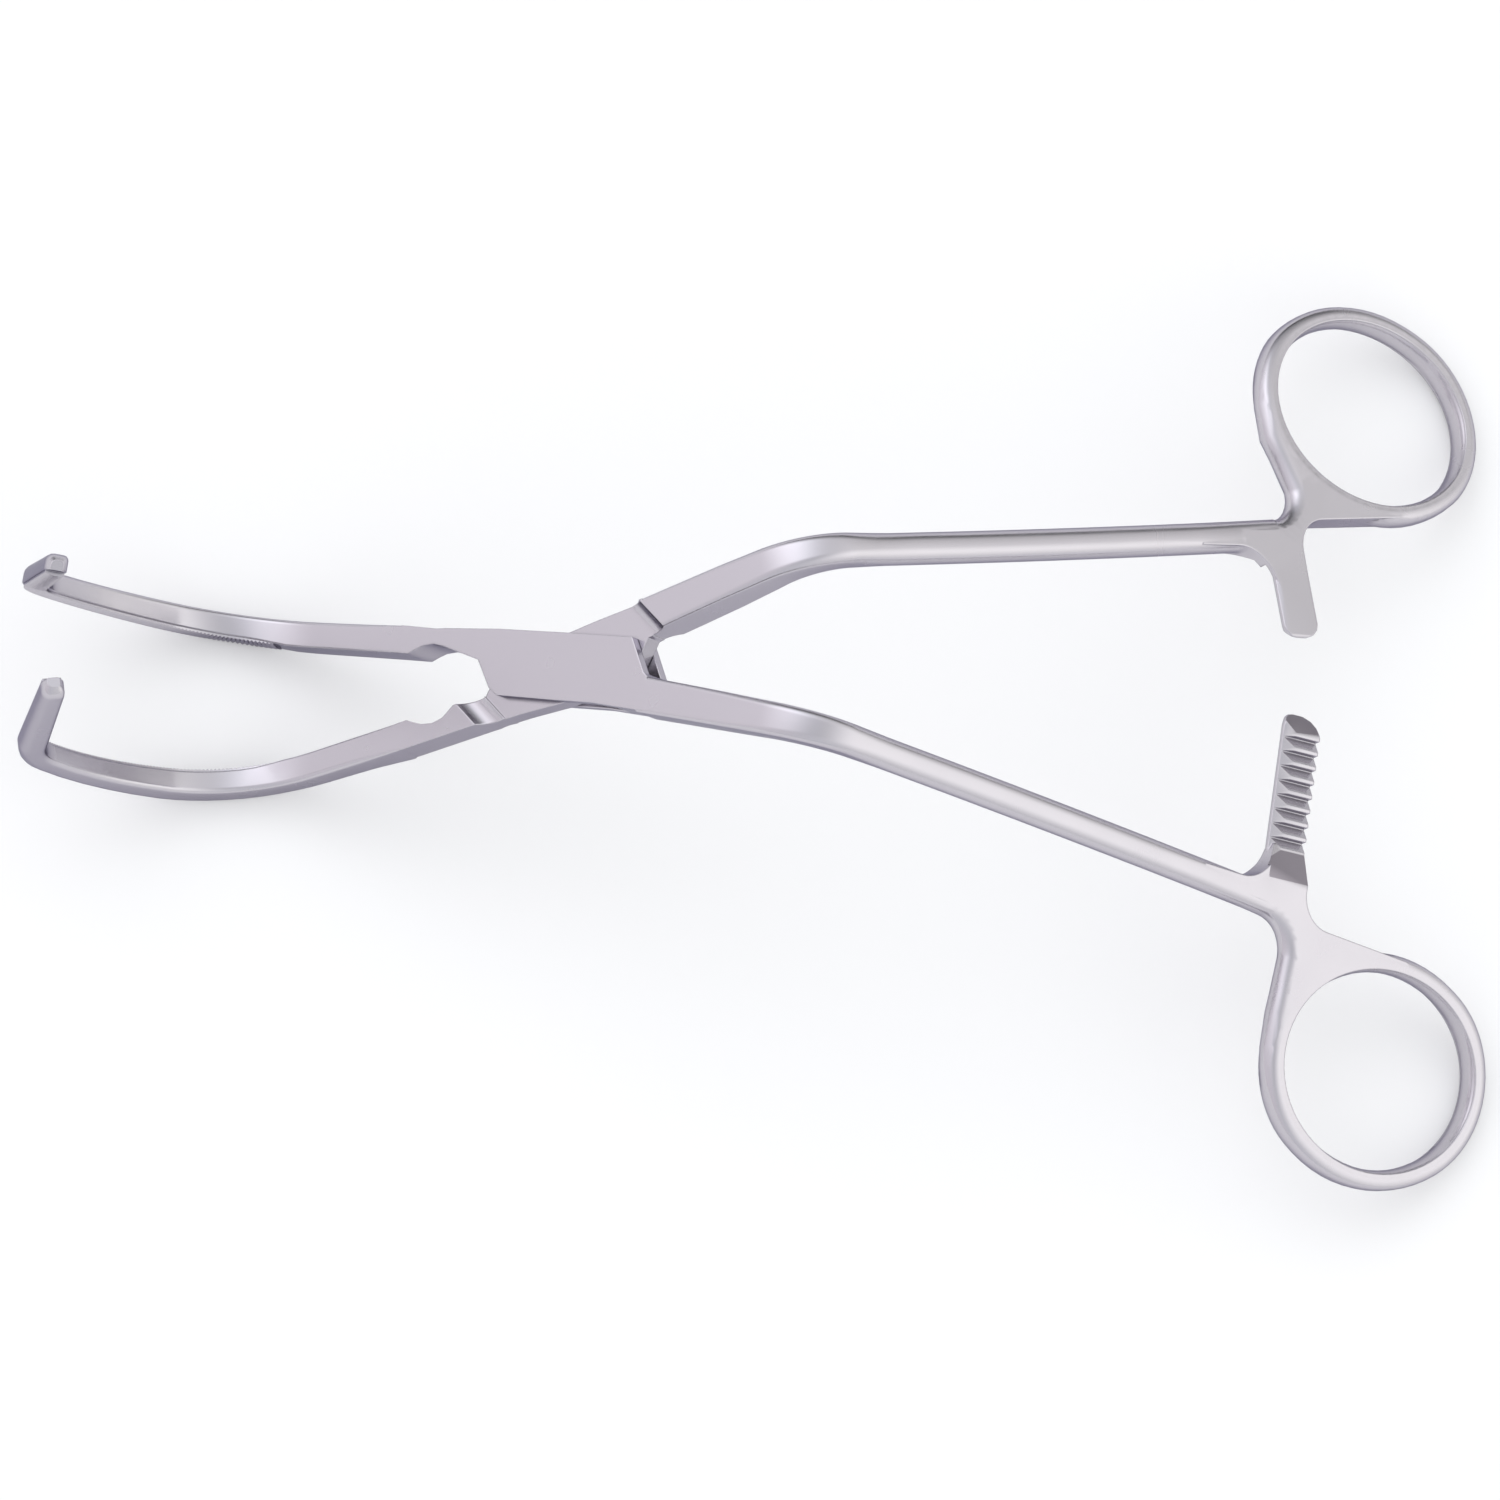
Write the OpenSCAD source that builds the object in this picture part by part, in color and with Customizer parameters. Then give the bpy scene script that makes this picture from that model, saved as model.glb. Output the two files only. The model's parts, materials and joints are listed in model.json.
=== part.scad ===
// Vascular clamp with a box lock, double-bent toothed jaws, bent shanks, ratchet and finger rings.
// Each arm is drawn closed, with its jaw on the +Y side, its handle on the -Y side and the pivot at the
// origin. The through arm is the mirror image. Both are then opened and laid down on z = 0, with the
// origin under the middle of the clamp.

/* [Pose] */
// Angle between the two arms as the clamp lies, degrees
open_angle = 20; // [3:1:32]

/* [Box lock] */
// Thickness of the box lock
lock_t = 6; // [5:0.1:8]
// Half height of the box lock
lock_half = 4.65; // [4:0.05:6]
// Pivot to the upper fore corner of the box
box_fore = 10.9; // [9:0.1:13]
// Pivot to the lower aft corner of the box
box_aft = 9.6; // [8:0.1:12]
// Lean of the box ends, along X from corner to middle
box_lean = 3.4; // [2:0.1:5]
// Thickness of the tongue that runs through the box
tongue_t = 2.9; // [2:0.1:4]
// Gap on each side of the tongue in its slot
slot_gap = 0.06; // [0.03:0.01:0.12]
// Gap between the ends of the slot and the edges of the tongue
end_gap = 0.35; // [0.25:0.05:0.6]
// Width of the hollow fillet where the tongue meets the shoulder
cove_w = 2.2; // [1.6:0.1:3]
// Diameter of the pivot pin
pin_d = 4.2; // [3:0.1:5]
// Radial clearance of the pin in the through arm
pin_gap = 0.03; // [0.01:0.005:0.08]

/* [Jaws] */
// Pivot to the start of the first jaw bend
jaw_straight = 41.7; // [38:0.1:50]
// Turn of the first jaw bend, degrees
jaw_bend_1 = 68.5; // [60:0.5:75]
// Inner radius of the first jaw bend
jaw_radius_1 = 17; // [12:0.1:19]
// Turn of the gently bowed stretch between the two bends, degrees
jaw_bow = 23; // [15:1:30]
// Inner radius of the gently bowed stretch
jaw_bow_radius = 54; // [45:1:70]
// Turn of the second jaw bend, degrees
jaw_bend_2 = 43; // [30:1:55]
// Inner radius of the second jaw bend
jaw_radius_2 = 8; // [6:0.5:12]
// Length of the hooked end past the second bend
jaw_hook = 21; // [14:0.2:26]
// Width of the jaw past its root
jaw_w_root = 5.7; // [5:0.1:6]
// Width of the jaw between its bends
jaw_w_mid = 4.1; // [3.4:0.1:4.6]
// Width of the jaw at its tip
jaw_w_tip = 3.1; // [2.6:0.1:3.6]
// Height of one jaw at its root
jaw_h_root = 3.85; // [3.4:0.05:4.2]
// Height of one jaw at its tip
jaw_h_tip = 2.8; // [2.2:0.05:3.2]
// Half gap between the closed jaws at their root, where they only close under pressure
root_relief = 0.25; // [0.1:0.05:0.6]
// Inward lean of each jaw's tip, which lets the tips meet first as the clamp closes
tip_lean = 1.1; // [0:0.1:1.2]
// Half gap left between the tooth crests of the closed jaws
bite_gap = 0.05; // [0.03:0.01:0.1]

/* [Jaw teeth] */
// Spacing of the cross teeth
tooth_pitch = 0.54; // [0.5:0.02:1]
// Depth of the cross teeth
tooth_depth = 0.24; // [0.15:0.01:0.3]
// Start of the toothed strip past the start of the first bend
tooth_start = 6; // [0:0.5:10]
// Height of the middle ridge of one jaw, and depth of the groove that takes it in the other
ridge_h = 0.2; // [0.1:0.02:0.3]
// Plain margin on each side of the toothed strip
strip_margin = 0.3; // [0.2:0.05:0.5]

/* [Shanks] */
// Pivot to the corner of the shank bend
shank_corner = 39.25; // [34:0.25:46]
// Turn of the shank bend, degrees
shank_bend = 65.5; // [50:0.5:75]
// Middle radius of the shank bend
shank_radius = 10; // [8:0.5:14]
// Middle of the shank below the pivot line where it leaves the box
shank_drop = 2.95; // [2.6:0.05:3.4]
// Outward slope of the shank
shank_splay = 5.85; // [4:0.05:7]
// Inward bow of the shank at the middle of its length
shank_bow = 0.35; // [0:0.05:1]
// Width of the shank at the box
root_w = 5; // [4.4:0.1:5.6]
// Width of the shank along the handle
shank_w = 4.3; // [3.8:0.1:4.8]
// Thickness of the round part of the shank
shank_t = 3.8; // [3.4:0.1:4.4]

/* [Finger rings] */
// Corner of the shank bend to the middle of the finger ring
ring_reach = 101.3; // [95:0.1:110]
// Middle of the finger ring below the closed axis of the clamp
ring_drop = 33.6; // [31:0.1:37]
// Length of the finger hole along the handle
hole_l = 33; // [29:0.2:36]
// Width of the finger hole
hole_w = 27.4; // [24:0.2:30]
// Width of the ring's rod in the plane of the handle
ring_w = 2.9; // [2.4:0.1:3.6]
// Thickness of the ring's rod
ring_t = 3.7; // [3:0.1:4.4]
// Radius at the two ends of the ring, along the middle of the rod
ring_end_r = 13.9; // [12:0.1:14.2]

/* [Ratchet] */
// Corner of the shank bend to the middle of the ratchet bars
ratchet_reach = 81.1; // [76:0.1:84]
// Width of a ratchet bar
ratchet_w = 5.8; // [5:0.1:8]
// Thickness of a ratchet bar
ratchet_t = 1.75; // [1.4:0.05:2]
// Tip of the long ratchet bar beyond the closed axis
long_tip = 12.9; // [11:0.1:13.2]
// Tip of the short ratchet bar beyond the closed axis
short_tip = 2; // [0:0.1:3]
// Spacing of the ratchet teeth
ratchet_pitch = 2.03; // [1.6:0.01:2.4]
// Depth of the ratchet teeth
ratchet_depth = 0.85; // [0.5:0.05:1]
// Number of teeth on the long bar
long_teeth = 9; // [6:1:10]
// Number of teeth on the short bar
short_teeth = 4; // [3:1:5]
// Slope of the toothed faces, so that the bars pass each other as the clamp closes
ratchet_slope = 1.2; // [1:0.1:2]
// Gap between the toothed faces when the clamp is closed
ratchet_gap = 0.4; // [0.35:0.05:0.6]
// Thickness of the flat web between shank, ratchet and ring
web_t = 3.6; // [3:0.1:4]
// Radius of the hollow corners round the web
web_fillet = 5; // [3:0.5:6]

/* [Hidden] */

steel = [0.78, 0.76, 0.79];
bright_steel = [0.84, 0.83, 0.85];

overlap = 1;
cut = 1;
edge_bevel = 0.2;
front_round = 0.7;
rear_round = 1.8;
lock_z = lock_t / 2;
slot_t = tongue_t + 2 * slot_gap;
arm_turn = open_angle / 2;

// Along the jaw, measured on its inner edge from the root
jaw_root = 26;
jaw_s1 = jaw_straight - jaw_root;
jaw_s2 = jaw_s1 + jaw_radius_1 * jaw_bend_1 * PI / 180;
jaw_s3 = jaw_s2 + jaw_bow_radius * jaw_bow * PI / 180;
jaw_s4 = jaw_s3 + jaw_radius_2 * jaw_bend_2 * PI / 180;
jaw_end = jaw_s4 + jaw_hook;
nose = 2;

// Along the shank, measured on its middle line from where it leaves the box
shank_start = 13.2;
bend_tangent = shank_radius * tan(shank_bend / 2);
shank_s1 = shank_corner - bend_tangent - shank_start;
shank_s2 = shank_s1 + shank_radius * shank_bend * PI / 180;
shank_far = ratchet_reach - 1;
shank_end = shank_s2 + shank_far - bend_tangent;

ring_a = (hole_l + ring_w) / 2;
ring_b = (hole_w + ring_w) / 2;
ring_side_r = (ring_b ^ 2 + (ring_a - ring_end_r) ^ 2 - ring_end_r ^ 2) / (2 * (ring_b - ring_end_r));
ring_joint = atan2(ring_side_r - ring_b, ring_a - ring_end_r);

// A solid skinned over a row of cross-sections that all have the same number of points
module loft(rings) {
    n = len(rings[0]);
    last = len(rings) - 1;
    sides = [for (i = [0 : last - 1], j = [0 : n - 1])
        let (a = i * n + j, b = i * n + (j + 1) % n)
        each [[a, b, b + n], [a, b + n, a + n]]];
    near_cap = [[for (j = [n - 1 : -1 : 0]) j]];
    far_cap = [[for (j = [0 : n - 1]) last * n + j]];
    polyhedron(points = [for (r = rings) each r], faces = concat(sides, near_cap, far_cap), convexity = 6);
}

// Point on the inner edge of the jaw [x, z] and its heading, 0 along -X and 90 along +Z
function jaw_at(s) =
    s <= jaw_s1 ? [-jaw_root - s, lock_z, 0]
    : s <= jaw_s2 ? jaw_arc([-jaw_straight, lock_z], 0, jaw_radius_1, (s - jaw_s1) / jaw_radius_1)
    : s <= jaw_s3 ? jaw_arc(jaw_at(jaw_s2), jaw_bend_1, jaw_bow_radius, (s - jaw_s2) / jaw_bow_radius)
    : s <= jaw_s4 ? jaw_arc(jaw_at(jaw_s3), jaw_bend_1 + jaw_bow, jaw_radius_2, (s - jaw_s3) / jaw_radius_2)
    : jaw_line(jaw_at(jaw_s4), s - jaw_s4);

function jaw_line(p, d) = [p[0] - d * cos(p[2]), p[1] + d * sin(p[2]), p[2]];

function jaw_arc(p, heading, r, radians) =
    let (h = heading + radians * 180 / PI)
    [p[0] + r * (sin(heading) - sin(h)), p[1] + r * (cos(heading) - cos(h)), h];

function jaw_w(s) = lookup(s, [
    [0, lock_t], [6, jaw_w_root], [jaw_s1, jaw_w_mid + 0.8 * (jaw_w_root - jaw_w_mid)],
    [jaw_s2, jaw_w_mid + 0.5], [(jaw_s2 + jaw_s3) / 2, jaw_w_mid], [jaw_end, jaw_w_tip]]);

function jaw_h(s) = lookup(s, [
    [0, jaw_h_root], [jaw_s1, jaw_h_root - 0.2], [jaw_s2, jaw_h_root - 0.35],
    [jaw_s4, jaw_h_tip + 0.35], [jaw_end, jaw_h_tip]]);

// Height of the tooth crests over the closed plane
function jaw_bite(s) =
    bite_gap + root_relief * max(0, 1 - s / jaw_s2)
    - tip_lean * (max(0, s - jaw_s1) / (jaw_end - jaw_s1)) ^ 1.3;

// How far the toothed strip stands out from the side of the jaw
function strip_h(s) = lookup(s, [[jaw_s1 + tooth_start - 2, 0], [jaw_s1 + tooth_start + 3, tooth_depth + ridge_h]]);

// Point at depth t across the jaw from its inner edge and at height y
function jaw_point(at, t, y) = [at[0] - t * sin(at[2]), y, at[1] - t * cos(at[2])];

// Rounded-back cross-section of the jaw; near the end it shrinks to a blunt nose
function jaw_section(s) =
    let (
        at = jaw_at(s),
        w = jaw_w(s),
        u = max(0, (s - jaw_end + nose) / nose),
        fill = sqrt(max(0.12, 1 - u * u)),
        low = jaw_bite(s) + strip_h(s),
        high = low + (jaw_h(s) - strip_h(s)) * (0.35 + 0.65 * fill),
        near = w * (1 - fill) * 0.35,
        far = w - near,
        soft = min(1, 0.3 + s / 12),
        r = min(front_round * soft, (high - low) / 3, (far - near) / 3),
        rear = min(rear_round * soft, (high - low) / 2, (far - near) / 2.4),
        e = min(edge_bevel, r / 2)
    )
    [
        jaw_point(at, near + e, low),
        jaw_point(at, far - e, low),
        jaw_point(at, far, low + e),
        for (k = [0 : 4]) jaw_point(at, far - rear + rear * cos(k * 22.5), high - rear + rear * sin(k * 22.5)),
        for (k = [3 : 6]) jaw_point(at, near + r + r * cos(k * 30), high - r + r * sin(k * 30)),
        jaw_point(at, near, low + e)
    ];

// Where the jaw's cross-sections lie: close together in the bends and at the nose
jaw_stations = [
    for (k = [0, 0.25, 0.5, 0.75]) jaw_s1 * k,
    for (i = [0 : 10]) jaw_s1 + (jaw_s2 - jaw_s1) * i / 10,
    for (k = [0.2, 0.4, 0.6, 0.8]) jaw_s2 + (jaw_s3 - jaw_s2) * k,
    for (i = [0 : 8]) jaw_s3 + (jaw_s4 - jaw_s3) * i / 8,
    jaw_s4 + jaw_hook / 2,
    for (k = [0, 0.3, 0.55, 0.75, 0.9, 1]) jaw_end - nose * (1 - k)
];

module jaw_body() {
    loft([for (s = jaw_stations) jaw_section(s)]);
}

// Toothed strip along the bite. The middle stands up as a ridge (side 1) or sinks to a groove (side -1)
module tooth_strip(side) {
    first = jaw_s1 + tooth_start;
    count = floor((jaw_end - nose / 2 - first) / tooth_pitch);
    loft([for (i = [0 : 2 * count])
        let (
            s = first + i * tooth_pitch / 2,
            at = jaw_at(s),
            w = jaw_w(s),
            crest = jaw_bite(s) + (i % 2) * tooth_depth,
            root = jaw_bite(s) + tooth_depth + ridge_h + 0.5
        )
        [
            jaw_point(at, strip_margin, crest),
            jaw_point(at, w / 2, crest - side * ridge_h),
            jaw_point(at, w - strip_margin, crest),
            jaw_point(at, w - strip_margin, root),
            jaw_point(at, strip_margin, root)
        ]
    ]);
}

module jaw(side) {
    jaw_body();
    tooth_strip(side);
}

// Middle of the shank [x, z] and its downward heading
function shank_at(s) =
    s <= shank_s1 ? [shank_start + s, 0, 0]
    : s <= shank_s2 ? shank_arc((s - shank_s1) / shank_radius * 180 / PI)
    : shank_leg(bend_tangent + s - shank_s2);

function shank_arc(h) = [
    shank_corner - bend_tangent + shank_radius * sin(h),
    -shank_radius * (1 - cos(h)),
    h
];

function shank_leg(d) = [shank_corner + d * cos(shank_bend), -d * sin(shank_bend), shank_bend];

// Middle of the shank below the closed axis
function shank_y(s) =
    let (t = s / (shank_end - 12))
    -shank_drop - s * tan(shank_splay) + 4 * shank_bow * t * (1 - t);

// Rectangle with corners of radius r, from square at the box to nearly oval along the handle
function shank_section(s) =
    let (
        at = shank_at(s),
        y = shank_y(s),
        hw = lookup(s, [[0, root_w / 2], [shank_s1, shank_w / 2 + 0.15], [shank_s2, shank_w / 2]]),
        ht = lookup(s, [
            [0, lock_z], [shank_s1 - 4, lock_z], [shank_s2 + 6, shank_t / 2],
            [shank_end - 12, shank_t / 2], [shank_end, web_t / 2 - 0.1]]),
        r = lookup(s, [
            [0, 0.5], [shank_s1 - 8, 0.6], [shank_s2 + 4, 0.86 * shank_t / 2],
            [shank_end - 12, 0.86 * shank_t / 2], [shank_end, 0.7 * web_t / 2]])
    )
    [for (q = [0 : 3], k = [0 : 4])
        let (
            angle = q * 90 + k * 22.5,
            cy = (q == 0 || q == 3 ? 1 : -1) * (hw - r),
            cn = (q < 2 ? 1 : -1) * (ht - r),
            n = cn + r * sin(angle)
        )
        [at[0] + n * sin(at[2]), y - cy - r * cos(angle), at[1] + n * cos(at[2])]
    ];

shank_stations = [
    for (i = [0 : 3]) shank_s1 * i / 3,
    for (i = [1 : 10]) shank_s1 + (shank_s2 - shank_s1) * i / 10,
    for (d = [3, 6, 10]) shank_s2 + d,
    for (i = [1 : 6]) shank_s2 + 10 + (shank_end - 14 - shank_s2 - 10) * i / 6,
    shank_end - 7,
    shank_end
];

module shank() {
    loft([for (s = shank_stations) shank_section(s)]);
}

// Everything past the shank bend lies in one plane: X along the handle, Z to its front
module handle_plane() {
    translate([shank_corner, 0, 0]) rotate([0, shank_bend, 0]) children();
}

// Point on a four-arc oval about the origin and the direction of its outward normal, at angle h of that normal
function ring_at(h) =
    let (
        quarter = abs(((h + 90) % 180) - 90),
        on_end = quarter <= ring_joint,
        r = on_end ? ring_end_r : ring_side_r,
        cx = on_end ? (cos(h) > 0 ? 1 : -1) * (ring_a - ring_end_r) : 0,
        cy = on_end ? 0 : (sin(h) > 0 ? 1 : -1) * (ring_b - ring_side_r)
    )
    [cx + r * cos(h), cy + r * sin(h), h];

// Part of a half width or half thickness at angle g of a cross-section between an oval and a rectangle
function squarish(part) = sign(part) * abs(part) ^ 0.8;

// Skin of the oval ring, in the plane of the handle
ring_steps = 72;
ring_sides = 16;
ring_points = [for (i = [0 : ring_steps - 1], k = [0 : ring_sides - 1])
    let (
        p = ring_at(360 * i / ring_steps),
        out = ring_w / 2 * squarish(cos(360 * k / ring_sides)),
        up = ring_t / 2 * squarish(sin(360 * k / ring_sides))
    )
    [ring_reach + p[0] + out * cos(p[2]), -ring_drop + p[1] + out * sin(p[2]), up]];

module finger_ring() {
    faces = [for (i = [0 : ring_steps - 1], k = [0 : ring_sides - 1])
        let (
            a = i * ring_sides + k,
            b = i * ring_sides + (k + 1) % ring_sides,
            c = (i + 1) % ring_steps * ring_sides + (k + 1) % ring_sides,
            d = (i + 1) % ring_steps * ring_sides + k
        )
        each [[a, b, c], [a, c, d]]];
    polyhedron(points = ring_points, faces = faces, convexity = 4);
}

function oval(a, b, n) = [for (i = [0 : n - 1]) [a * cos(360 * i / n), b * sin(360 * i / n)]];

// Path of the round border that carries the outer edge of the shank on into the ring, with the angle of its
// outward side and its radius [x, y, angle, r]. On the through arm the neck narrows by inset.
rail_r = web_t / 2;
ring_left = ring_reach - ring_a;
leg_y = shank_y(shank_end);
function rail_path(inset) =
    let (
        turn_x = ring_left - web_fillet - rail_r + inset,
        turn_y = leg_y - shank_w / 2 - web_fillet + 0.15,
        low_edge = leg_y + (shank_far - turn_x) * tan(shank_splay) - shank_w / 2
    )
    [
        [turn_x - 9, low_edge + 9 * tan(shank_splay) + 0.8 * rail_r + 0.3, 90, 0.7 * rail_r],
        [turn_x - 4, low_edge + 4 * tan(shank_splay) + rail_r, 90, rail_r - 0.1],
        for (h = [84 : -12 : 0]) [
            turn_x + (web_fillet + rail_r) * cos(h),
            turn_y + (web_fillet + rail_r) * sin(h),
            h,
            rail_r
        ],
        [ring_left + inset * 0.4, turn_y - 5, 0, rail_r],
        [ring_left, -ring_drop + 5, 0, rail_r],
        for (h = [0 : 10 : 40]) [
            ring_reach - (ring_a - ring_end_r) - ring_end_r * cos(h),
            -ring_drop - ring_end_r * sin(h),
            h,
            rail_r - 0.5 * h / 40
        ]
    ];

module rail(inset) {
    loft([for (p = rail_path(inset))
        [for (k = [0 : 15])
            let (out = p[3] * cos(k * 22.5), up = p[3] * sin(k * 22.5))
            [p[0] + out * cos(p[2]), p[1] + out * sin(p[2]), -up]]
    ]);
}

// Outline of the web: shank end, ratchet root, ring and round border run together with hollow fillets
module web_outline(inset) {
    half = ratchet_w / 2;
    web_top = -5.6;
    lead = 14;
    border = rail_path(inset);
    difference() {
        offset(r = -web_fillet, $fn = 60) offset(delta = web_fillet) union() {
            polygon(concat(
                [
                    [shank_far - lead, leg_y + lead * tan(shank_splay)],
                    [shank_far - lead, leg_y + lead * tan(shank_splay) + shank_w / 2 - 0.5],
                    [ratchet_reach - half - 3.4, leg_y + shank_w / 2 + 0.4],
                    [ratchet_reach - half - 0.6, leg_y + shank_w / 2 + 3.2],
                    [ratchet_reach - half + 0.5, web_top],
                    [ratchet_reach + half, web_top],
                    [ratchet_reach + half, -ring_drop + ring_b + 2.6],
                    [ring_reach, -ring_drop + ring_b + ring_w / 2 - 0.6],
                    [ring_reach, -ring_drop]
                ],
                [for (i = [len(border) - 5 : -1 : 0]) [border[i][0], border[i][1]]]
            ));
            translate([ring_reach, -ring_drop]) polygon(oval(ring_a, ring_b, 72));
        }
        translate([ring_reach, -ring_drop])
            polygon(oval(hole_l / 2 + 0.5, hole_w / 2 + 0.5, 72));
    }
}

module web(inset) {
    translate([0, 0, -web_t / 2]) linear_extrude(web_t) web_outline(inset);
    rail(inset);
}

// Side view of a toothed bar, with x along the bar to its tip at x = tip and y towards the teeth
module bar_profile(base, tip, teeth) {
    tip_run = 2.7;
    crest = tip - tip_run;
    crest_w = 0.45;
    polygon([
        [base, -ratchet_t],
        [tip - 0.3, -ratchet_t],
        [tip, -ratchet_t + 0.3],
        for (i = [0 : teeth - 2]) each [
            [crest - i * ratchet_pitch, 0],
            [crest - i * ratchet_pitch - crest_w, 0],
            [crest - i * ratchet_pitch - crest_w - 0.2, -ratchet_depth],
            [crest - i * ratchet_pitch - crest_w - 0.35, -ratchet_depth]
        ],
        [crest - (teeth - 1) * ratchet_pitch, 0],
        [base, 0]
    ]);
}

// Plan outline of a bar, with a rounded tip, that trims the extruded side view
module bar_plan(base, tip) {
    half = ratchet_w / 2;
    translate([ratchet_reach, 0]) polygon([
        [-half, base],
        [half, base],
        [half, tip - 2.2],
        [half - 0.3, tip - 1.3],
        [half - 1.1, tip - 0.5],
        [half - 2.4, tip - 0.05],
        [-half + 1.8, tip],
        [-half + 0.9, tip - 0.2],
        [-half + 0.3, tip - 0.8],
        [-half, tip - 1.8]
    ]);
}

// Ratchet bar from the web to its tip, with teeth to the front and a wide bevel along their near ends
module ratchet_bar(tip, teeth) {
    base = leg_y;
    near = ratchet_reach - ratchet_w / 2;
    difference() {
        intersection() {
            translate([ratchet_reach, 0, -ratchet_gap / 2]) rotate([-ratchet_slope, 0, 0]) rotate([90, 0, 90])
                linear_extrude(ratchet_w + 2 * cut, center = true) bar_profile(base, tip, teeth);
            translate([0, 0, -2 * ratchet_t]) linear_extrude(4 * ratchet_t) bar_plan(base, tip);
        }
        translate([near, 0, -ratchet_gap / 2]) rotate([-ratchet_slope, 0, 0]) {
            edge_cut(base, tip, 1.6, 0.9);
            translate([0, 0, -ratchet_t]) mirror([0, 0, 1]) edge_cut(base, tip, 0.6, 0.3);
        }
    }
}

// Cutter for a bevel of width w and depth d along the near edge of a ratchet bar
module edge_cut(base, tip, w, d) {
    over = 1 + cut / w;
    translate([0, tip + cut, 0]) rotate([90, 0, 0]) linear_extrude(tip - base + 2 * cut)
        polygon([[w, 0], [w * (1 - over), -d * over], [w * (1 - over), d], [w, d]]);
}

// Clears a web to floor_z from its front, between x = from and x = to and down to y = -reach, with a ramp of
// length run at its far end
module relief(from, to, floor_z, reach, run) {
    top = web_t / 2 + cut;
    rise = top - floor_z;
    length = run * rise / (rise - cut);
    translate([from, 0, 0]) rotate([90, 0, 90]) linear_extrude(to - from)
        polygon([[cut, floor_z], [cut, top], [-reach - length, top], [-reach, floor_z]]);
}

// Room for the other arm's bar where it passes the toothed face. Beside the bar the web is thinned as well.
module ratchet_relief(reach, run) {
    near = ratchet_reach - ratchet_w / 2;
    far = ratchet_reach + ratchet_w / 2;
    relief(near - overlap, far + overlap, -ratchet_gap / 2 - ratchet_depth, reach, run);
    relief(near - 8, near, 0, min(reach, 9.9), 1.4);
    relief(far, far + 8, 0, reach - 0.4, 2);
}

// Handle with its shank, ring and ratchet. Teeth to the front (face 1) or to the back (face -1)
module handle(tip, teeth, face, reach, run, inset) {
    turn_over = [0, 0, face > 0 ? 0 : 1];
    difference() {
        union() {
            shank();
            handle_plane() web(inset);
        }
        handle_plane() mirror(turn_over) ratchet_relief(reach, run);
    }
    handle_plane() {
        finger_ring();
        mirror(turn_over) ratchet_bar(tip, teeth);
    }
}

// Bevel along the back of the jaw root, at its rear, that leads into the jaw's round back
module jaw_root_bevel() {
    translate([-jaw_root - 2 * cut, jaw_back, -lock_z]) rotate([0, 90, 0])
        linear_extrude(jaw_root - box_aft - box_lean + 2 * cut)
            polygon([[-1.6, 0.4], [0, -1.6], [3, -1.6], [3, 3], [-1.6, 3]]);
}

// Outline of one arm about the pivot, with the jaw root at left and the handle root at right
jaw_back = jaw_bite(0) + jaw_h_root;
handle_top = -shank_drop + root_w / 2;
handle_low = -shank_drop - root_w / 2;

function notch_points(lip) = [
    [-jaw_root - overlap, jaw_bite(0) + 0.02],
    [-jaw_root + 0.7, jaw_bite(0)],
    [-jaw_root + 1.8, 0.95],
    [-jaw_root + 3, 1.55],
    [-jaw_root + 4.7, 1.9],
    [-jaw_root + 6.4, 1.65],
    lip
];

module box_outline() {
    polygon(concat(
        notch_points([-box_aft - box_lean - 0.5, 0.1]),
        [
            [-box_aft - 1.4, -lock_half + 1],
            [-box_aft, -lock_half + 0.1],
            [0, -lock_half],
            [6, -lock_half],
            [shank_start + overlap, handle_low + 0.2],
            [shank_start + overlap, handle_top],
            [box_fore + box_lean - 0.7, 0],
            [box_fore, lock_half],
            [0, lock_half],
            [-box_fore, lock_half - 0.1],
            [-jaw_root + 6.3, lock_half - 0.5],
            [-jaw_root + 4.8, jaw_back - 0.15],
            [-jaw_root - overlap, jaw_back]
        ]
    ));
}

// The slot runs between two leaning walls that keep the jaw root and the handle root solid
module slot_outline() {
    reach = 30;
    polygon([
        [-box_aft - 0.1 + reach * box_lean / lock_half, lock_half + reach],
        [-box_aft - 0.1, lock_half],
        [-box_aft - box_lean - 0.5, 0.1],
        [-box_aft - box_lean - reach, 0.1 - reach / 3],
        [box_fore - 1.3 - reach * box_lean / lock_half, -lock_half - reach],
        [box_fore - 1.3, -lock_half],
        [box_fore + box_lean - 0.7, -0.1],
        [box_fore + box_lean + reach, -0.1 + reach / 3]
    ]);
}

module pin_bore(clearance) {
    cylinder(h = lock_t + 2 * cut, r = pin_d / 2 + clearance, center = true, $fn = 64);
}

module box_arm_closed() {
    difference() {
        union() {
            translate([0, 0, -lock_z]) linear_extrude(lock_t) box_outline();
            jaw(1);
            handle(long_tip, long_teeth, 1, short_tip + 2.1, 6.5, 0.7);
        }
        translate([0, 0, -slot_t / 2]) linear_extrude(slot_t) slot_outline();
        jaw_root_bevel();
        pin_bore(0);
    }
}

// The through arm: its tongue has the leaning ends of the slot, less the end gap
module tongue_outline() {
    polygon(concat(
        notch_points([-box_aft - box_lean - 4.6, 0.4]),
        [
            [-box_aft - box_lean - 0.3, end_gap],
            [-box_aft + end_gap, -lock_half + 0.15],
            [0, -lock_half],
            [6, -lock_half - 0.45],
            [shank_start + overlap, handle_low],
            [shank_start + overlap, handle_top],
            [box_fore + box_lean - 0.9, handle_top + 0.1],
            [box_fore - 1.5, lock_half - 0.1],
            [0, lock_half],
            [-8, lock_half - 0.45],
            [-jaw_root + 11.5, jaw_back - 0.05],
            [-jaw_root - overlap, jaw_back]
        ]
    ));
}

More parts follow.
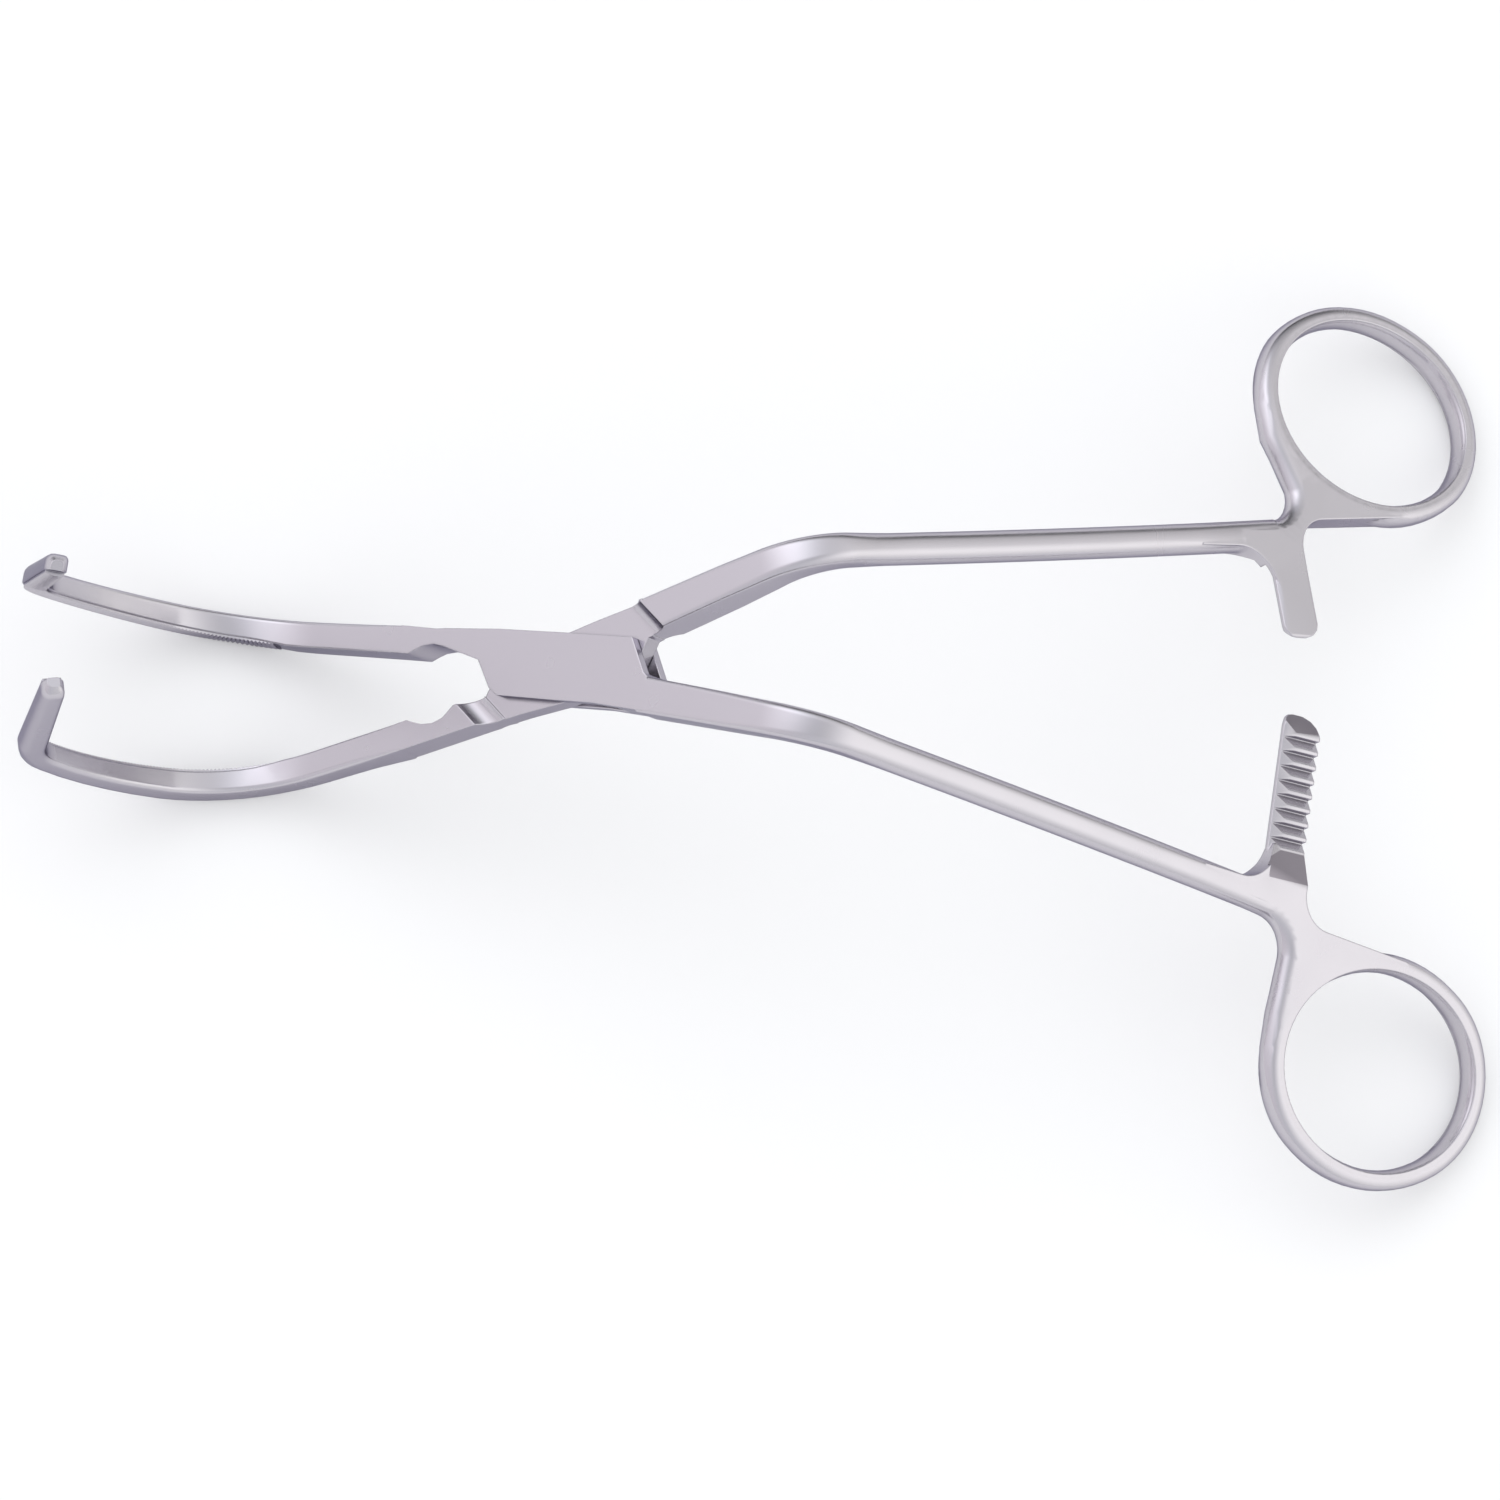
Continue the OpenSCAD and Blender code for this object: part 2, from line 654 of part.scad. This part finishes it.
// Clears one face of the tongue between its two leaning shoulders, with a hollow fillet at each
module tongue_relief() {
    depth = (lock_t - tongue_t) / 2;
    cove_r = (cove_w ^ 2 + depth ^ 2) / (2 * depth);
    lean = 34;
    jaw_side = -box_aft - box_lean - 2.5;
    handle_side = box_fore + box_lean + 0.9;
    reach = 20;
    translate([0, 0, tongue_t / 2]) {
        linear_extrude(depth + cut) polygon([
            [jaw_side + cove_w + (reach + 2) * tan(lean), reach + 2],
            [jaw_side + cove_w - (reach - 2) * tan(lean), -reach + 2],
            [handle_side - cove_w - (reach - 2) * tan(lean), -reach - 0.5],
            [handle_side - cove_w + (reach + 2) * tan(lean), reach - 0.5]
        ]);
        for (x = [jaw_side + cove_w, handle_side - cove_w])
            translate([x, x < 0 ? 2 : -2.5, cove_r]) rotate([0, 0, -lean]) rotate([90, 0, 0])
                cylinder(h = 2 * reach, r = cove_r, center = true, $fn = 64);
    }
}

module through_arm_closed() {
    difference() {
        union() {
            translate([0, 0, -lock_z]) linear_extrude(lock_t) tongue_outline();
            jaw(-1);
            handle(short_tip, short_teeth, -1, long_tip + 0.6, 2.8, 2.8);
        }
        tongue_relief();
        mirror([0, 0, 1]) tongue_relief();
        jaw_root_bevel();
        pin_bore(pin_gap);
    }
}

// The clamp lies on the far ends of its rings and on its first jaw bends. For a slope of the box lock,
// each function gives how far below the pivot that support reaches.
function laid_z(p, slope) = (p[0] * cos(arm_turn) + p[1] * sin(arm_turn)) * sin(slope) + p[2] * cos(slope);

function from_handle(p) = [
    shank_corner + p[0] * cos(shank_bend) + p[2] * sin(shank_bend),
    p[1],
    -p[0] * sin(shank_bend) + p[2] * cos(shank_bend)
];

function ring_low(slope) = -min([for (p = ring_points) laid_z(from_handle(p), slope)]);

function jaw_low(slope) = -min([for (s = jaw_stations, p = jaw_section(s)) laid_z(p, slope)]);

// Slope at which both supports are level, found by halving the range that holds it
function level_slope(low, high, steps) =
    let (middle = (low + high) / 2)
    steps == 0 ? middle
    : ring_low(middle) > jaw_low(middle) ? level_slope(middle, high, steps - 1)
    : level_slope(low, middle, steps - 1);

lay_slope = level_slope(10, 70, 24);
lift = jaw_low(lay_slope);

// Place along X of a point of the closed box arm, once the arm is opened and laid down
function laid_x(p) = (p[0] * cos(arm_turn) + p[1] * sin(arm_turn)) * cos(lay_slope) - p[2] * sin(lay_slope);

// The clamp is centred along X between the outer ends of its jaws and its rings
jaw_reach = min([for (s = jaw_stations, p = jaw_section(s)) laid_x(p)]);
ring_end = max([for (p = ring_points) laid_x(from_handle(p))]);
centre_x = (jaw_reach + ring_end) / 2;

module laid_down() {
    translate([-centre_x, 0, lift]) rotate([0, -lay_slope, 0]) children();
}

module box_arm() {
    color(steel) laid_down() rotate([0, 0, -arm_turn]) box_arm_closed();
}

module through_arm() {
    color(steel) laid_down() rotate([0, 0, arm_turn]) mirror([0, 1, 0]) through_arm_closed();
}

module pivot_pin() {
    color(bright_steel) laid_down() cylinder(h = lock_t, d = pin_d, center = true, $fn = 64);
}

box_arm();
through_arm();
pivot_pin();
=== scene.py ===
"""Looks of the vascular clamp: satin stainless steel on a plain white table, seen nearly from above."""
import json
import math

import bmesh
import bpy
from mathutils import Matrix, Vector


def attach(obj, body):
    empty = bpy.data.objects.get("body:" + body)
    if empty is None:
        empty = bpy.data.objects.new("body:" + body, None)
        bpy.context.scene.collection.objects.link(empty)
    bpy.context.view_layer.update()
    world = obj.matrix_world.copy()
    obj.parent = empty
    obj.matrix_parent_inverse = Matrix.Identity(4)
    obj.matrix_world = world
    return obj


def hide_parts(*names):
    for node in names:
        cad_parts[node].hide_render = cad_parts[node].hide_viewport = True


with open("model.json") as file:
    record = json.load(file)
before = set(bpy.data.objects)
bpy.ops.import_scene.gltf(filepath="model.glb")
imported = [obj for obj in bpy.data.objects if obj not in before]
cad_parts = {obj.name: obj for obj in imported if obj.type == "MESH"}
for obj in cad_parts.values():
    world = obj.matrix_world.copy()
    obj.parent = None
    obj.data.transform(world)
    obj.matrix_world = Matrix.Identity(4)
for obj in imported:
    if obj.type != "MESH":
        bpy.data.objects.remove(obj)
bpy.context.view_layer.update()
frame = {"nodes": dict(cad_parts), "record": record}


nodes = frame["nodes"]

# Places on the clamp, in metres

PIVOT = Vector(frame["record"]["behaviour"]["joints"][0]["pos_m"])
JAW_END = PIVOT.x - 0.030
JAW_FADE = 0.008
TEETH_END = JAW_END - 0.010
TEETH_FADE = 0.002
PIN_RIM = 0.0044
PIN_FADE = 0.0008

# The long ratchet bar, and where the ramp at its foot and the facet at its tip, which get painted shade, lie
# along Y

BAR_X = (0.066, 0.077)
BAR_Z = (0.017, 0.027)
RAMP_Y = (-0.0250, -0.0190)
TIP_Y = (-0.0024, 0.0020)

# Shades of the steel, and the colours of painted shade laid on it

STEEL = (0.550, 0.527, 0.566, 1.0)
# Painted shade: a darker steel colour for the ratchet's ramp and tip facet, which face up and toward the far
# side
FACET_PAINTED_SHADE = (0.30, 0.275, 0.31, 1.0)
# Painted shade: a near-black colour laid into the roots of the jaws' fine teeth
TOOTH_ROOT_PAINTED_SHADE = (0.10, 0.09, 0.105, 1.0)
GLANCE_TINT = (0.34, 0.33, 0.41, 1.0)
# Painted shade: the steel's colour is scaled by this much down in grooves and recesses
GROOVE_PAINTED_SHADE = 0.42

# Faces that meet at less than this angle are shaded as one curved surface

SMOOTH_BELOW = math.radians(32)
WELD = 0.000002

# The table lies a hair under the clamp, and looks a little whiter than the light on it makes it

TABLE_HALF = 2.0
TABLE_Z = -0.0002
TABLE_WHITE = 0.84
TABLE_LIFT = 0.14

# The tent's lobes: degrees across to +X and along to +Y from straight up, added brightness, tightness

TENT_SHADE = 0.86
KEY_LAMP = (-26, 33, 1.10, 9.0)
FILL_LAMP = (62, -8, 0.70, 5.0)
SIDE_GLOW = (-80, 0, 0.08, 3.0)
DIM_OVERHEAD = (10, 0, -0.22, 8.0)
DARK_FLAG = (98, 50, -0.80, 12.0)
DARK_HORIZON = (0, 90, -0.80, 7.0)
TENT_TINT = (
    (0.0, (1.03, 1.0, 1.04)),
    (0.5, (0.975, 1.0, 1.035)),
    (1.0, (1.0, 1.0, 0.97)),
)

# The camera, matched to the photo

CAMERA_AT = (-0.14598, -0.22133, 0.96958)
CAMERA_RIGHT = Vector((0.98866, 0.0072, 0.14997))
CAMERA_UP = Vector((-0.0396, 0.97599, 0.21419))
CAMERA_LENS = 171.8


# Small helpers for shader graphs

class Graph:
    """A node tree with short ways to add and link nodes."""

    def __init__(self, tree):
        self.tree = tree
        self.tree.nodes.clear()

    def add(self, kind, settings=None, **inputs):
        """Add a node. An input's key is its name with underscores, or i and its number."""
        node = self.tree.nodes.new(kind)
        for key, value in (settings or {}).items():
            setattr(node, key, value)
        for key, value in inputs.items():
            numbered = key[0] == "i" and key[1:].isdigit()
            self.put(node.inputs[int(key[1:]) if numbered else key.replace("_", " ")], value)
        return node

    def put(self, socket, value):
        if isinstance(value, bpy.types.NodeSocket):
            self.tree.links.new(value, socket)
        else:
            socket.default_value = value

    def math(self, operation, a, b=0.0, c=0.0):
        return self.add("ShaderNodeMath", {"operation": operation}, i0=a, i1=b, i2=c).outputs[0]

    def spread(self, value, low, high, at_low, at_high):
        """Map low..high to at_low..at_high, and hold the ends."""
        return self.add("ShaderNodeMapRange", Value=value, i1=low, i2=high, i3=at_low, i4=at_high).outputs[0]

    def noise(self, place, scale, detail, rough):
        texture = self.add("ShaderNodeTexNoise", Vector=place, Scale=scale, Detail=detail, Roughness=rough)
        return texture.outputs[0]

    def vector(self, operation, a, b):
        return self.add("ShaderNodeVectorMath", {"operation": operation}, i0=a, i1=b).outputs["Value"]

    def ramp(self, factor, stops):
        node = self.add("ShaderNodeValToRGB", i0=factor)
        ramp = node.color_ramp
        while len(ramp.elements) < len(stops):
            ramp.elements.new(0.5)
        for element, (position, colour) in zip(ramp.elements, stops):
            element.position = position
            element.color = (*colour, 1.0)
        return node.outputs[0]

    def mix(self, factor, a, b):
        """Mix two colours. The mix node's colour sockets are its inputs 6 and 7 and its output 2."""
        return self.add("ShaderNodeMix", {"data_type": "RGBA"}, i0=factor, i6=a, i7=b).outputs[2]

    def end(self, kind, shader):
        self.add(kind, Surface=shader.outputs[0])


# Materials

def steel_tone_with_painted_shade(g, place, along, colour):
    """Colour of the steel with painted shade: darker down in grooves and recesses, and painted dark at the
    roots of the jaws' fine teeth.
    """
    # Painted shade: ambient occlusion darkens the colour in grooves and recesses
    open_air = g.add("ShaderNodeAmbientOcclusion", {"samples": 8}, Distance=0.0012).outputs["AO"]
    painted_groove_shade_mask = g.spread(open_air, 0.15, 0.75, 0.0, 1.0)
    tone_with_painted_shade = g.mix(painted_groove_shade_mask, tuple(GROOVE_PAINTED_SHADE * c for c in colour), colour)
    # Painted shade: concave points among the jaws' teeth are darkened
    pointiness = g.add("ShaderNodeNewGeometry").outputs["Pointiness"]
    root_painted_shade_mask = g.spread(pointiness, 0.40, 0.50, 1.0, 0.0)
    on_teeth = g.spread(along, TEETH_END, TEETH_END + TEETH_FADE, 1.0, 0.0)
    return g.mix(g.math("MULTIPLY", root_painted_shade_mask, on_teeth), tone_with_painted_shade, TOOTH_ROOT_PAINTED_SHADE)


def edge_radius(g, place, along, edge):
    """Softly broken edges, but a sharp rim around the pin, which is ground flush, and crisper fine teeth."""
    at_pin = g.spread(g.vector("DISTANCE", place, PIVOT), PIN_RIM, PIN_RIM + PIN_FADE, 0.00001, edge)
    at_jaws = g.spread(along, JAW_END, JAW_END + JAW_FADE, 0.25 * edge, edge)
    return g.math("MINIMUM", at_pin, at_jaws)


def satin_steel(name, colour, roughness, edge):
    """Fine-ground stainless steel: matt grain, faint clouds in its gloss, painted shade in grooves, broken
    edges.
    """
    material = bpy.data.materials.new(name)
    material.use_nodes = True
    g = Graph(material.node_tree)
    place = g.add("ShaderNodeTexCoord").outputs["Object"]
    along = g.add("ShaderNodeSeparateXYZ", i0=place).outputs[0]
    clouds = g.noise(place, 140.0, 3.0, 0.5)
    grain = g.noise(place, 5200.0, 2.0, 0.6)
    rough = g.spread(clouds, 0.3, 0.7, roughness - 0.02, roughness + 0.04)
    tone_with_painted_shade = steel_tone_with_painted_shade(g, place, along, colour)
    radius = edge_radius(g, place, along, edge)
    rounded = g.add("ShaderNodeBevel", {"samples": 8}, Radius=radius).outputs[0]
    bump = g.add("ShaderNodeBump", Strength=0.1, Distance=0.00002, Height=grain, Normal=rounded).outputs[0]
    shader = g.add("ShaderNodeBsdfPrincipled", Base_Color=tone_with_painted_shade, Metallic=1.0, Roughness=rough, Normal=bump,
                   Specular_Tint=GLANCE_TINT)
    g.end("ShaderNodeOutputMaterial", shader)
    return material


def table_white():
    """Plain pale table that takes the clamp's shadow."""
    material = bpy.data.materials.new("table_white")
    material.use_nodes = True
    g = Graph(material.node_tree)
    diffuse = g.add("ShaderNodeBsdfDiffuse", Color=(TABLE_WHITE, TABLE_WHITE, TABLE_WHITE, 1.0))
    path = g.add("ShaderNodeLightPath")
    seen = g.math("MAXIMUM", path.outputs["Is Camera Ray"], path.outputs["Is Glossy Ray"])
    seen = g.math("MAXIMUM", seen, path.outputs["Is Transmission Ray"])
    strength = g.math("MULTIPLY", seen, TABLE_LIFT)
    lift = g.add("ShaderNodeEmission", Color=(1.0, 1.0, 1.0, 1.0), Strength=strength)
    both = g.add("ShaderNodeAddShader", i0=diffuse.outputs[0], i1=lift.outputs[0])
    g.end("ShaderNodeOutputMaterial", both)
    return material


# The arms: the CAD surfaces with their facets shaded smooth, and sharp only where the steel has an edge

def within(value, span):
    return span[0] < value < span[1]


def gets_painted_facet_shade(face):
    """The ramp before the long ratchet's first tooth and the facet at its tip face up and toward the far
    side, and get a darker steel colour: painted shade.
    """
    at = face.calc_center_median()
    on_bar = within(at.x, BAR_X) and within(at.z, BAR_Z)
    looks_up = face.normal.y > 0.15 and face.normal.z > 0.5
    return on_bar and looks_up and (within(at.y, RAMP_Y) or within(at.y, TIP_Y))


def smooth_arm(name, body, steel, painted_facet_steel):
    mesh = nodes[name].data.copy()
    mesh.name = name + "_smooth"
    mesh.materials.clear()
    mesh.materials.append(steel)
    mesh.materials.append(painted_facet_steel)
    work = bmesh.new()
    work.from_mesh(mesh)
    bmesh.ops.remove_doubles(work, verts=work.verts, dist=WELD)
    for face in work.faces:
        face.smooth = True
        face.material_index = 1 if name == "box_arm" and gets_painted_facet_shade(face) else 0
    for edge in work.edges:
        edge.smooth = len(edge.link_faces) == 2 and edge.calc_face_angle() < SMOOTH_BELOW
    work.to_mesh(mesh)
    work.free()
    arm = bpy.data.objects.new(name + "_smooth", mesh)
    bpy.context.scene.collection.objects.link(arm)
    even = arm.modifiers.new("even_shading", "WEIGHTED_NORMAL")
    even.keep_sharp = True
    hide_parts(name)
    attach(arm, body)


def dress_pin(steel):
    pin = nodes["pivot_pin"]
    if not pin.material_slots:
        pin.data.materials.append(steel)
    for slot in pin.material_slots:
        slot.material = steel


# Table, light and camera

def add_table():
    corners = ((-1, -1), (1, -1), (1, 1), (-1, 1))
    mesh = bpy.data.meshes.new("table")
    mesh.from_pydata([(TABLE_HALF * x, TABLE_HALF * y, TABLE_Z) for x, y in corners], [], [(0, 1, 2, 3)])
    mesh.materials.append(table_white())
    table = bpy.data.objects.new("table", mesh)
    bpy.context.scene.collection.objects.link(table)


def towards(across, along):
    """Direction that leans across degrees to +X from straight up, and along degrees to +Y."""
    a = math.radians(across)
    b = math.radians(along)
    return (math.cos(b) * math.sin(a), math.sin(b), math.cos(b) * math.cos(a))


def light_tent():
    """A white tent: a large soft lamp over the jaws' far side, one near right, and a dark flag far right."""
    world = bpy.data.worlds.new("tent")
    bpy.context.scene.world = world
    world.use_nodes = True
    g = Graph(world.node_tree)
    place = g.add("ShaderNodeTexCoord").outputs["Generated"]
    shade = TENT_SHADE
    for across, along, strength, sharp in (
            KEY_LAMP, FILL_LAMP, SIDE_GLOW, DIM_OVERHEAD, DARK_FLAG, DARK_HORIZON):
        dot = g.vector("DOT_PRODUCT", place, towards(across, along))
        lobe = g.math("EXPONENT", g.math("MULTIPLY", g.math("SUBTRACT", dot, 1.0), sharp))
        shade = g.math("ADD", shade, g.math("MULTIPLY", lobe, strength))
    side = g.add("ShaderNodeSeparateXYZ", i0=place).outputs[0]
    tint = g.ramp(g.math("MULTIPLY_ADD", side, 0.5, 0.5), TENT_TINT)
    background = g.add("ShaderNodeBackground", Color=tint, Strength=shade)
    g.end("ShaderNodeOutputWorld", background)


def add_camera():
    camera = bpy.data.cameras.new("camera")
    camera.sensor_width = 36.0
    camera.lens = CAMERA_LENS
    camera.clip_start = 0.05
    camera.clip_end = 10.0
    seen = bpy.data.objects.new("camera", camera)
    back = CAMERA_RIGHT.cross(CAMERA_UP)
    turn = Matrix((CAMERA_RIGHT, CAMERA_UP, back)).transposed().to_4x4()
    seen.matrix_world = Matrix.Translation(CAMERA_AT) @ turn
    bpy.context.scene.collection.objects.link(seen)
    bpy.context.scene.camera = seen


arm_steel = satin_steel("satin_steel", STEEL, 0.24, 0.00028)
pin_steel = satin_steel("pin_steel", STEEL, 0.24, 0.00005)
# Painted shade: a darker steel for the ratchet's ramp and tip facet
painted_shade_facets = satin_steel("painted_facet_steel", FACET_PAINTED_SHADE, 0.34, 0.00012)
smooth_arm("box_arm", "box_half", arm_steel, painted_shade_facets)
smooth_arm("through_arm", "through_half", arm_steel, painted_shade_facets)
dress_pin(pin_steel)
add_table()
light_tent()
add_camera()

scene = bpy.context.scene
scene.view_settings.view_transform = "Standard"
